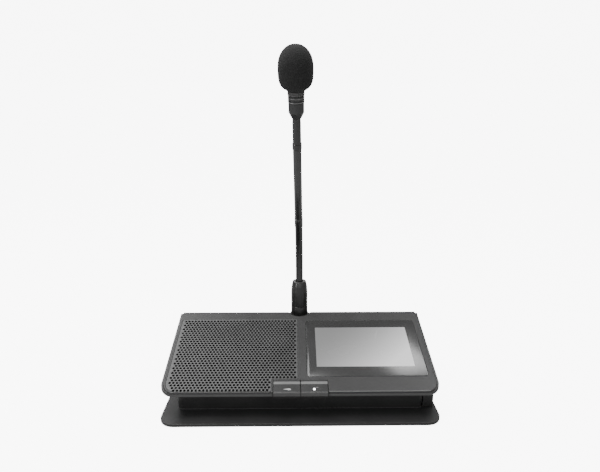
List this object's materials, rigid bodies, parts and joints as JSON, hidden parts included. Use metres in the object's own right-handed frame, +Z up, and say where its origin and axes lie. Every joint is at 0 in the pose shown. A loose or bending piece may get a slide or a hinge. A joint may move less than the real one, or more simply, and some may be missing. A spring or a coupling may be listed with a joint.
{
  "type": "conference delegate unit",
  "caption": "Wedge-shaped desk unit for a delegate at a conference, with a loudspeaker grille, a touch screen, push buttons and a microphone on a bendable neck.",
  "frame": {"origin": "on the table under the middle of the base plate", "axes": "+X to the right as the delegate sees it, +Y to the back, +Z up"},
  "size_m": [0.26, 0.15, 0.3328],
  "materials": {
    "base_plate": "satin",
    "board_parts": "matte",
    "button_board": "matte",
    "case_screws": "satin",
    "display_bracket": "satin",
    "display_module": "satin",
    "display_screen": "gloss",
    "grille_cloth": "matte",
    "head_collar": "gloss",
    "headphone_jack": "gloss",
    "jack_block": "satin",
    "light_ring": "gloss",
    "lock_ring": "gloss",
    "lower_collar": "gloss",
    "lower_housing": "matte",
    "lower_link_1": "gloss",
    "lower_link_2": "gloss",
    "lower_link_3": "gloss",
    "main_board": "matte",
    "mic_capsule": "satin",
    "mic_cup": "gloss",
    "mute_button": "satin",
    "mute_plunger": "matte",
    "neck_root": "gloss",
    "neck_sleeve": "gloss",
    "neck_socket": "satin",
    "network_jacks": "gloss",
    "rear_panel": "matte",
    "rubber_feet": "matte",
    "speak_button": "satin",
    "speak_light": "gloss",
    "speak_plunger": "matte",
    "speaker_cone": "matte",
    "speaker_frame": "satin",
    "speaker_grille": "satin",
    "speaker_magnet": "satin",
    "stem_tube": "gloss",
    "tact_switches": "matte",
    "top_cover": "satin",
    "touch_glass": "gloss",
    "upper_collar": "gloss",
    "upper_link": "gloss",
    "windscreen": "matte"
  },
  "bodies": {
    "base": {"base_plate": "base_plate", "board_parts": "board_parts", "button_board": "button_board", "case_screws": "case_screws", "display_bracket": "display_bracket", "display_module": "display_module", "display_screen": "display_screen", "grille_cloth": "grille_cloth", "headphone_jack": "headphone_jack", "jack_block": "jack_block", "lower_housing": "lower_housing", "main_board": "main_board", "neck_root": "neck_root", "neck_sleeve": "neck_sleeve", "neck_socket": "neck_socket", "network_jacks": "network_jacks", "rear_panel": "rear_panel", "rubber_feet": "rubber_feet", "speaker_cone": "speaker_cone", "speaker_frame": "speaker_frame", "speaker_grille": "speaker_grille", "speaker_magnet": "speaker_magnet", "tact_switches": "tact_switches", "top_cover": "top_cover", "touch_glass": "touch_glass"},
    "mute_button": {"mute_button": "mute_button", "mute_plunger": "mute_plunger"},
    "speak_button": {"speak_button": "speak_button", "speak_plunger": "speak_plunger", "speak_light": "speak_light"},
    "lock_ring": {"lock_ring": "lock_ring"},
    "lower_link_1": {"lower_link_1": "lower_link_1"},
    "lower_link_2": {"lower_link_2": "lower_link_2"},
    "lower_link_3": {"lower_link_3": "lower_link_3"},
    "stem": {"lower_collar": "lower_collar", "stem_tube": "stem_tube", "upper_collar": "upper_collar"},
    "upper_link": {"upper_link": "upper_link"},
    "head": {"mic_cup": "mic_cup", "head_collar": "head_collar", "light_ring": "light_ring", "mic_capsule": "mic_capsule", "windscreen": "windscreen"}
  },
  "joints": [
    {"name": "mute_press", "type": "slide", "parent": "base", "child": "mute_button", "axis": [0, 0.3253, -0.9456], "range_m": [0, 0.0008], "stiffness_N_per_m": 1200, "springref_m": -0.0004},
    {"name": "speak_press", "type": "slide", "parent": "base", "child": "speak_button", "axis": [0, 0.3253, -0.9456], "range_m": [0, 0.0008], "stiffness_N_per_m": 1200, "springref_m": -0.0004},
    {"name": "lock_ring_turn", "type": "hinge", "parent": "base", "child": "lock_ring", "pos_m": [0, 0.045, 0.06698], "axis": [0, 0, 1], "range_deg": [0, 90]},
    {"name": "lower_pitch_1", "type": "hinge", "parent": "base", "child": "lower_link_1", "pos_m": [0, 0.045, 0.10812], "axis": [0.9988, -0.0489, 0], "range_deg": [-34, 22]},
    {"name": "lower_side_1", "type": "hinge", "parent": "lower_link_1", "child": "lower_link_2", "pos_m": [-0.00009, 0.04316, 0.12474], "axis": [0.0482, 0.9851, 0.1648], "range_deg": [-28, 28]},
    {"name": "lower_pitch_2", "type": "hinge", "parent": "lower_link_2", "child": "lower_link_3", "pos_m": [-0.00027, 0.0395, 0.14106], "axis": [0.9988, -0.0489, 0], "range_deg": [-34, 22]},
    {"name": "lower_side_2", "type": "hinge", "parent": "lower_link_3", "child": "stem", "pos_m": [-0.00053, 0.03407, 0.15688], "axis": [0.0452, 0.9252, 0.3768], "range_deg": [-28, 28]},
    {"name": "upper_pitch", "type": "hinge", "parent": "stem", "child": "upper_link", "pos_m": [-0.00282, -0.0127, 0.25593], "axis": [0.9988, -0.0489, 0], "range_deg": [-26, 28]},
    {"name": "upper_side", "type": "hinge", "parent": "upper_link", "child": "head", "pos_m": [-0.00302, -0.01681, 0.26548], "axis": [0.0452, 0.9241, 0.3795], "range_deg": [-28, 28]}
  ],
  "couplings": [
    {"joint": "lower_pitch_2", "follows": "lower_pitch_1", "ratio": 1},
    {"joint": "lower_side_2", "follows": "lower_side_1", "ratio": 1}
  ]
}
